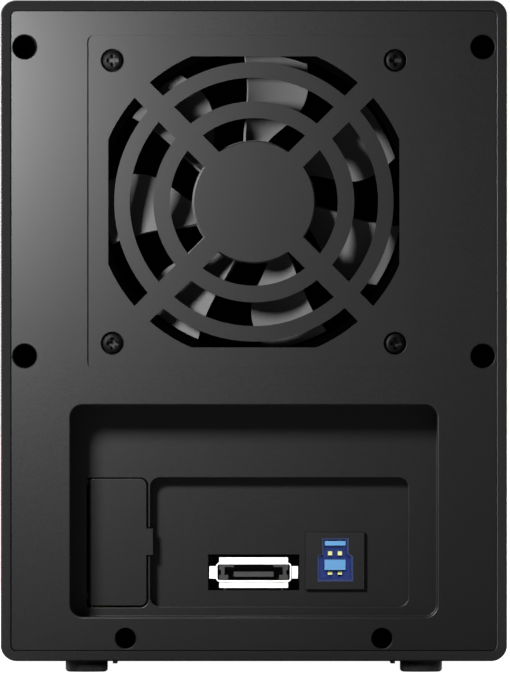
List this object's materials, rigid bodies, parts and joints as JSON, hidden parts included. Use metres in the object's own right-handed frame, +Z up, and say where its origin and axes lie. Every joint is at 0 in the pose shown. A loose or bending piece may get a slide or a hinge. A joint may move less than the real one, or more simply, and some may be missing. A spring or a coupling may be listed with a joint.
{
  "type": "external drive enclosure",
  "caption": "Upright desktop drive enclosure: metal sleeve, hinged mesh front door over horizontal bays, and a rear panel with a grilled fan and a recess for the sockets.",
  "frame": {"origin": "on the table under the centre of the body", "axes": "+Z up, -Y towards the front door, +Y towards the fan and the sockets, +X towards the side with the control column"},
  "size_m": [0.128, 0.215, 0.17],
  "materials": {
    "case_finish": "satin black paint over an aluminium extrusion",
    "panel_plastic": "satin black moulded plastic",
    "bezel_plastic": "fine-textured black moulded plastic",
    "gloss_black": "polished black plastic",
    "button_plastic": "smooth grey plastic",
    "foot_rubber": "matte black rubber",
    "black_screws": "black-oxide steel",
    "zinc_steel": "zinc-plated sheet steel",
    "mesh_steel": "satin black painted perforated steel",
    "fan_plastic": "black glass-filled plastic",
    "magnet": "nickel-plated magnet",
    "bearing_bronze": "sintered bronze",
    "motor_copper": "enamelled copper windings on laminated steel",
    "lead_sleeve": "black sleeving",
    "connector_white": "natural nylon",
    "connector_black": "black moulded plastic",
    "rail_plastic": "grey moulded plastic",
    "board_green": "solder mask over fibreglass",
    "board_black": "black solder mask over fibreglass",
    "chip_black": "black moulded package",
    "heatsink_aluminium": "extruded, natural",
    "capacitor_can": "satin can",
    "brass_plain": "turned, plain",
    "bright_metal": "bright nickel",
    "socket_blue": "dark blue moulded plastic",
    "tongue_blue": "light blue moulded plastic",
    "contact_gold": "gold plated",
    "lamp_clear": "frosted clear plastic"
  },
  "bodies": {
    "enclosure": {"backplane": "board_black", "backplane_clips": "zinc_steel", "bay_rails_left": "rail_plastic", "bay_rails_right": "rail_plastic", "bezel_magnet": "magnet", "board_capacitors": "capacitor_can", "board_inductors": "chip_black", "board_screws": "zinc_steel", "board_standoffs": "brass_plain", "bridge_chip": "chip_black", "button_switches": "connector_black", "cage_floor_plate": "zinc_steel", "cage_left_wall": "zinc_steel", "cage_right_wall": "zinc_steel", "cage_top_plate": "zinc_steel", "case_sleeve": "case_finish", "chassis_floor": "zinc_steel", "chip_heatsink": "heatsink_aluminium", "control_inlay": "gloss_black", "esata_insulator": "connector_black", "esata_shell": "bright_metal", "fan_bearing": "bearing_bronze", "fan_frame": "fan_plastic", "fan_header": "connector_white", "fan_lead": "lead_sleeve", "fan_nuts": "zinc_steel", "fan_plug": "connector_white", "fan_screws": "black_screws", "fan_struts": "fan_plastic", "foot_screws": "black_screws", "front_bezel": "bezel_plastic", "front_board": "board_green", "lamp_chips": "lamp_clear", "lamp_pipes_drive": "lamp_clear", "lamp_pipes_small": "lamp_clear", "main_board": "board_green", "motor_coils": "motor_copper", "power_inlet": "connector_black", "power_inlet_pin": "bright_metal", "rear_frame": "zinc_steel", "rear_panel": "panel_plastic", "rear_screws": "black_screws", "riser_socket": "connector_black", "rubber_feet": "foot_rubber", "sata_sockets": "connector_black", "usb_contacts": "contact_gold", "usb_housing": "connector_black", "usb_insulator": "socket_blue", "usb_tongues": "tongue_blue"},
    "fan_rotor": {"fan_rotor": "fan_plastic", "rotor_magnet": "magnet", "fan_shaft": "zinc_steel"},
    "front_door": {"front_door": "bezel_plastic", "door_mesh": "mesh_steel", "door_pins": "zinc_steel", "door_magnet": "magnet"},
    "power_button": {"power_button": "button_plastic"},
    "fan_button": {"fan_button": "button_plastic"},
    "mode_button": {"mode_button": "button_plastic"},
    "port_cover": {"port_cover": "panel_plastic"}
  },
  "joints": [
    {"name": "fan_spin", "type": "hinge", "parent": "enclosure", "child": "fan_rotor", "pos_m": [0, 0.09, 0.11905], "axis": [0, 1, 0], "continuous": true},
    {"name": "door_swing", "type": "hinge", "parent": "enclosure", "child": "front_door", "pos_m": [-0.0595, -0.103, 0.0865], "axis": [0, 0, -1], "range_deg": [0, 110]},
    {"name": "power_button_press", "type": "slide", "parent": "enclosure", "child": "power_button", "axis": [0, 1, 0], "range_m": [0, 0.001], "stiffness_N_per_m": 300, "springref_m": -0.002},
    {"name": "fan_button_press", "type": "slide", "parent": "enclosure", "child": "fan_button", "axis": [0, 1, 0], "range_m": [0, 0.001], "stiffness_N_per_m": 300, "springref_m": -0.002},
    {"name": "mode_button_press", "type": "slide", "parent": "enclosure", "child": "mode_button", "axis": [0, 1, 0], "range_m": [0, 0.001], "stiffness_N_per_m": 300, "springref_m": -0.002},
    {"name": "port_cover_swing", "type": "hinge", "parent": "enclosure", "child": "port_cover", "pos_m": [0.04089, 0.0934, 0.0329], "axis": [0, 0, -1], "range_deg": [0, 100]}
  ]
}
